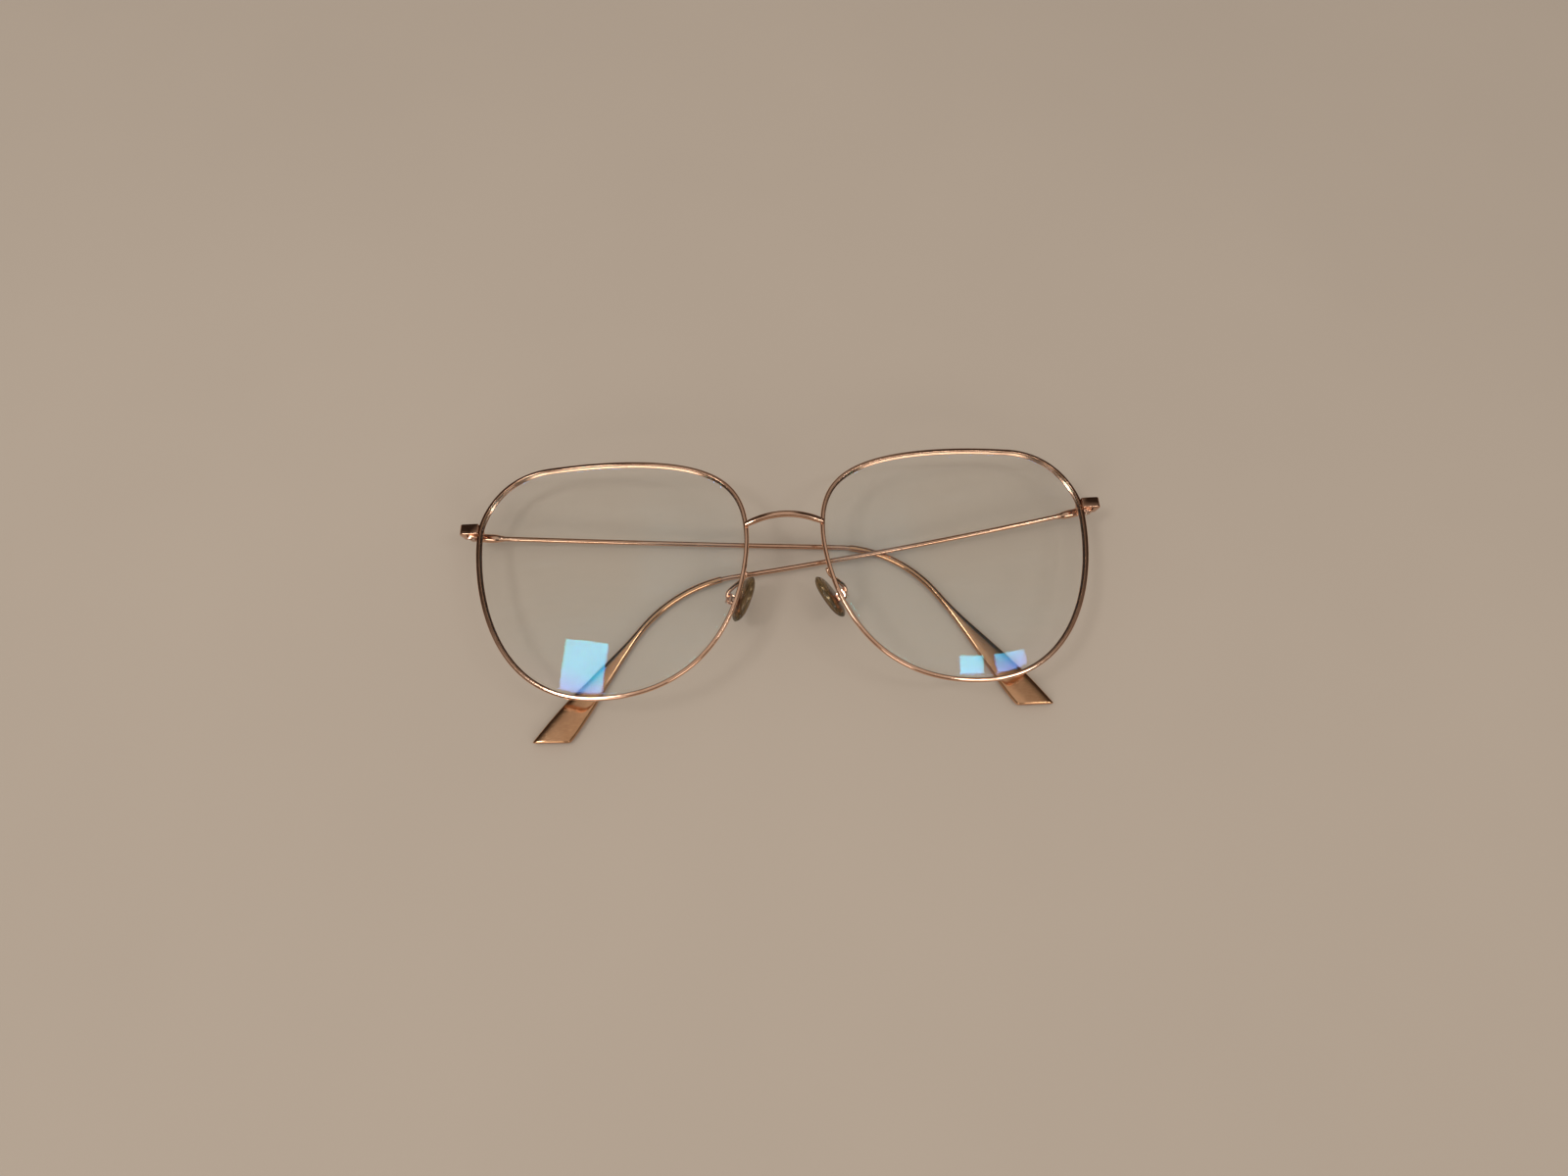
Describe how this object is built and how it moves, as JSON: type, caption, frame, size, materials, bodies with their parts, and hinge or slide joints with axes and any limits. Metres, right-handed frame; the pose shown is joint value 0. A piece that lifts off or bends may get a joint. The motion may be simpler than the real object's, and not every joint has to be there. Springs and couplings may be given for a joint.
{
  "type": "eyeglasses",
  "caption": "Folded full-rim wire eyeglasses in polished rose gold, with clear lenses, an arched bridge, rocking nose pads and temples that open on screw hinges.",
  "frame": {"origin": "middle of the folded glasses' box on the surface they lie on", "axes": "+X towards the wearer's left, along the width; +Y towards the top of the front; +Z out of the front face, which faces up as the folded glasses lie"},
  "size_m": [0.142, 0.0598, 0.0165],
  "materials": {
    "frame_metal": "polished rose-gold plating",
    "tip_metal": "polished rose-gold plating, slightly darker",
    "pad_metal": "satin copper tone",
    "screw": "fine turned, plated to match the frame",
    "lens": "clear with an anti-reflective coating that mirrors cyan and violet",
    "pad": "glossy translucent silicone"
  },
  "bodies": {
    "front": {"bridge": "frame_metal", "left_rim": "frame_metal", "left_lens": "lens", "left_rim_lock_upper": "frame_metal", "left_rim_lock_lower": "frame_metal", "left_rim_lock_screw": "screw", "left_end_piece": "frame_metal", "left_hinge_front": "frame_metal", "left_hinge_screw": "screw", "left_pad_arm": "frame_metal", "left_pad_box": "frame_metal", "left_pad_screw": "screw", "right_rim": "frame_metal", "right_lens": "lens", "right_rim_lock_upper": "frame_metal", "right_rim_lock_lower": "frame_metal", "right_rim_lock_screw": "screw", "right_end_piece": "frame_metal", "right_hinge_front": "frame_metal", "right_hinge_screw": "screw", "right_pad_arm": "frame_metal", "right_pad_box": "frame_metal", "right_pad_screw": "screw"},
    "left_temple": {"left_hinge_rear": "frame_metal", "left_temple_butt": "frame_metal", "left_temple_wire": "frame_metal", "left_temple_tip": "tip_metal"},
    "right_temple": {"right_hinge_rear": "frame_metal", "right_temple_butt": "frame_metal", "right_temple_wire": "frame_metal", "right_temple_tip": "tip_metal"},
    "left_pad": {"left_pad_insert": "pad_metal", "left_nose_pad": "pad"},
    "right_pad": {"right_pad_insert": "pad_metal", "right_nose_pad": "pad"}
  },
  "joints": [
    {"name": "left_temple_hinge", "type": "hinge", "parent": "front", "child": "left_temple", "pos_m": [0.0678, 0.01649, 0.00605], "axis": [0, -1, 0], "range_deg": [0, 92]},
    {"name": "right_temple_hinge", "type": "hinge", "parent": "front", "child": "right_temple", "pos_m": [-0.0678, 0.01649, 0.00605], "axis": [0, 1, 0], "range_deg": [0, 92]},
    {"name": "left_pad_rock", "type": "hinge", "parent": "front", "child": "left_pad", "pos_m": [0.01158, -0.00224, 0.00791], "axis": [0.3714, 0.2017, -0.9063], "range_deg": [-8, 8]},
    {"name": "right_pad_rock", "type": "hinge", "parent": "front", "child": "right_pad", "pos_m": [-0.01179, -0.00216, 0.00791], "axis": [-0.3966, 0.1459, -0.9063], "range_deg": [-8, 8]}
  ]
}
